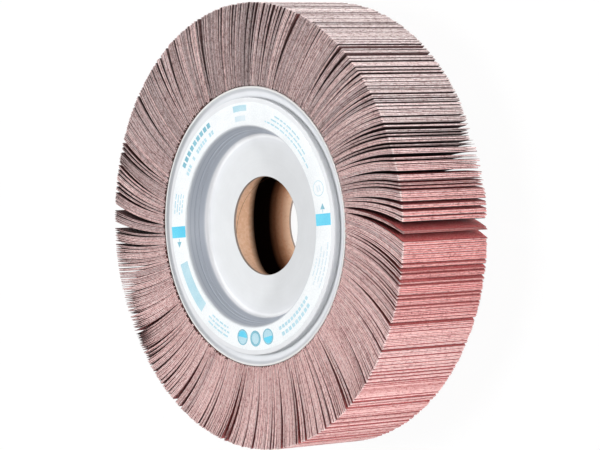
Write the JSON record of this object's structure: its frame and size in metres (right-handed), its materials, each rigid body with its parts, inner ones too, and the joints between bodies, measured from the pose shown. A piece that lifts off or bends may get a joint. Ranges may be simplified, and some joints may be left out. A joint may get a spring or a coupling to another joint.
{
  "type": "flap wheel",
  "caption": "Abrasive flap wheel: cloth flaps fanned round a cast core, moulded flanges with clamping recesses and a paper-lined bore.",
  "frame": {"origin": "on the bore axis, in the plane that the rear flange rests on", "axes": "+Z along the bore axis from the rear flange to the labelled front flange"},
  "size_m": [0.2, 0.2, 0.0527],
  "materials": {
    "abrasive_cloth": "gritted cloth",
    "core_paper": "wound kraft paper",
    "flange_plastic": "satin moulded",
    "label_paper": "smooth paper",
    "label_print": "flat print"
  },
  "bodies": {
    "root": {"flap_ring": "abrasive_cloth", "core_tube": "core_paper", "front_flange": "flange_plastic", "rear_flange": "flange_plastic", "label_ring": "label_paper"}
  },
  "joints": []
}
